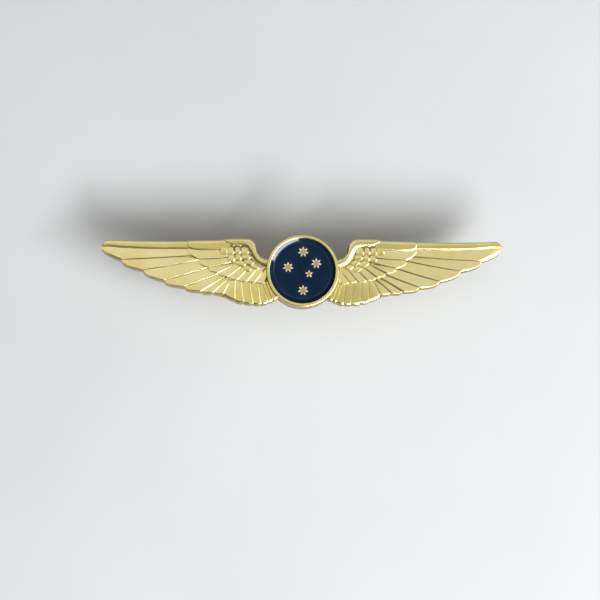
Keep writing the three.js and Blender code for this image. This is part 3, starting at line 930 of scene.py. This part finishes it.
def enamelled(name):
    """Glossy navy enamel with a faint mottling and the slight waviness of a fired surface."""
    material, tree, shader = new_material(name)
    cloud = remap(tree, noise(tree, ENAMEL_CLOUDS, 4, 0.6), *NOISE_RANGE, 0, 1)
    colour = mix(tree, cloud, DEEP_NAVY, NAVY)
    tree.links.new(colour, shader.inputs["Base Color"])
    rough = remap(tree, noise(tree, 0.5, 3), *NOISE_RANGE, 0.05, 0.1)
    tree.links.new(rough, shader.inputs["Roughness"])
    shader.inputs["Specular IOR Level"].default_value = ENAMEL_SPECULAR
    waves = noise(tree, ENAMEL_WAVES, 2)
    bump = node(tree, "Bump", {
        "Height": waves, "Strength": 0.1, "Distance": ENAMEL_WAVE_DEPTH * MM,
    })
    tree.links.new(bump.outputs["Normal"], shader.inputs["Normal"])
    return material


def dress(pieces, material):
    """Gives the pieces this one material."""
    for piece in pieces:
        piece.data.materials.clear()
        piece.data.materials.append(material)


# The last number given to the casting and the bezel is how far painted shade darkens their walls; the bezel
# also gets painted shade on its star tops and a painted highlight on their points.
dress([casting], plated("wing_gold", GOLD, DULL_GOLD, PAINTED_SHADE, 0.21, 0.5, 0.65))
dress([cup], plated("bezel_gold", GOLD, DULL_GOLD, PAINTED_SHADE, 0.25, 0.4, 0.6, STAR_TOP))
dress([pool], enamelled("navy_enamel"))
dress(posts, plated("post_gold", GOLD, DULL_GOLD, PAINTED_SHADE, 0.24, 0.3))
dress(bases + springs, plated("clutch_brass", BRASS, DULL_BRASS, PAINTED_SHADE, 0.32, 0.36))


# ---------------------------------------------------------------- stage

# Places and sizes on the stage are in metres.
FLOOR_SPAN = 6.0
FLOOR_DARK = (0.46, 0.46, 0.455)
FLOOR_LIGHT = (0.49, 0.49, 0.485)
AMBIENT = (0.9, 0.93, 1.0, 1)
AMBIENT_STRENGTH = 0.15
MIDDLE = (0, 0, 0)
CEILING = 0.75                # height of the panels that hang level over the pin
STRIP_HEIGHT = 0.62           # height of the strips that the bevels of the feathers mirror
WARM = (1, 0.92, 0.52)
COOL = (0.8, 0.89, 1.0)
DAYLIGHT = (0.95, 0.97, 1.0)
SIDE_RADIANCE = 0.8
STRIP_RADIANCE = 3.1
WINDOW_RADIANCE = 26


def softbox(name, location, size, radiance, colour=(1, 1, 1), target=None):
    """A rectangular panel of even brightness, facing straight down or towards a target."""
    light = bpy.data.lights.new(name, "AREA")
    light.shape = "RECTANGLE"
    light.size, light.size_y = size
    light.energy = radiance * math.pi * size[0] * size[1]
    light.color = colour
    obj = bpy.data.objects.new(name, light)
    obj.location = location
    if target:
        obj.rotation_euler = (Vector(target) - Vector(location)).to_track_quat("-Z", "Y").to_euler()
    bpy.context.scene.collection.objects.link(obj)


def floor(height):
    """A plain pale floor with a faint unevenness of tone."""
    mesh = bpy.data.meshes.new("floor")
    half = FLOOR_SPAN / 2
    corners = [(-half, -half), (half, -half), (half, half), (-half, half)]
    mesh.from_pydata([(x, y, height) for x, y in corners], [], [(0, 1, 2, 3)])
    obj = bpy.data.objects.new("floor", mesh)
    bpy.context.scene.collection.objects.link(obj)
    material, tree, shader = new_material("floor_paint")
    tone = remap(tree, noise(tree, 60, 3), *NOISE_RANGE, 0, 1)
    tree.links.new(mix(tree, tone, FLOOR_DARK, FLOOR_LIGHT), shader.inputs["Base Color"])
    shader.inputs["Roughness"].default_value = 0.9
    mesh.materials.append(material)
    obj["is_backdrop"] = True


floor(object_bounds()[0][2])

world = bpy.data.worlds.new("studio")
world.use_nodes = True
world.node_tree.nodes["Background"].inputs["Color"].default_value = AMBIENT
world.node_tree.nodes["Background"].inputs["Strength"].default_value = AMBIENT_STRENGTH
bpy.context.scene.world = world

# The ceiling panels leave a small opening, which the level enamel mirrors as dark. The faces of the feathers
# mirror the back panels, and slopes that face the trailing edge mirror the front ones.
for name, x, front, back in (("left", -0.3, 0.62, 0.77), ("right", 0.3, 0.43, 0.67)):
    softbox("front_" + name, (x, -0.095, CEILING), (0.6, 0.33), front, WARM)
    softbox("back_" + name, (x, 0.39, CEILING), (0.6, 0.52), back)
softbox("left", (-0.31, 0.1, CEILING), (0.58, 0.06), SIDE_RADIANCE)
softbox("right", (0.35, 0.1, CEILING), (0.5, 0.06), SIDE_RADIANCE)
softbox("strip", (0.45, -0.19, STRIP_HEIGHT), (0.76, 0.2), STRIP_RADIANCE, COOL, MIDDLE)
softbox("strip_end", (0.18, -0.46, STRIP_HEIGHT), (0.26, 0.2), STRIP_RADIANCE, COOL, MIDDLE)
softbox("window", (0.469, -0.436, 0.446), (0.86, 0.2), WINDOW_RADIANCE, DAYLIGHT, MIDDLE)

bpy.context.scene.view_settings.view_transform = "Standard"


# ---------------------------------------------------------------- camera

TILT = math.radians(7.5)      # how far the camera leans from straight above towards the trailing edge
SWING = math.radians(-2.2)    # the same towards the right wing; below 0 it leans towards the left one
ROLL = math.radians(0.25)
DISTANCE = 0.4
AIM = Vector((-0.0005, -0.0057, 0.003))
SENSOR_WIDTH = 36
LENS = 121
CLIP_START = 0.01

camera_data = bpy.data.cameras.new("camera")
camera_data.sensor_width = SENSOR_WIDTH
camera_data.lens = LENS
camera_data.clip_start = CLIP_START
camera = bpy.data.objects.new("camera", camera_data)
bpy.context.scene.collection.objects.link(camera)
towards = Vector((math.sin(SWING), -math.sin(TILT), math.cos(TILT) * math.cos(SWING))).normalized()
camera.location = AIM + towards * DISTANCE
level = Vector((math.cos(ROLL), math.sin(ROLL), 0))
right = (level - towards * level.dot(towards)).normalized()
turn = Matrix((right, towards.cross(right), towards)).transposed()
camera.rotation_euler = turn.to_euler()
bpy.context.scene.camera = camera
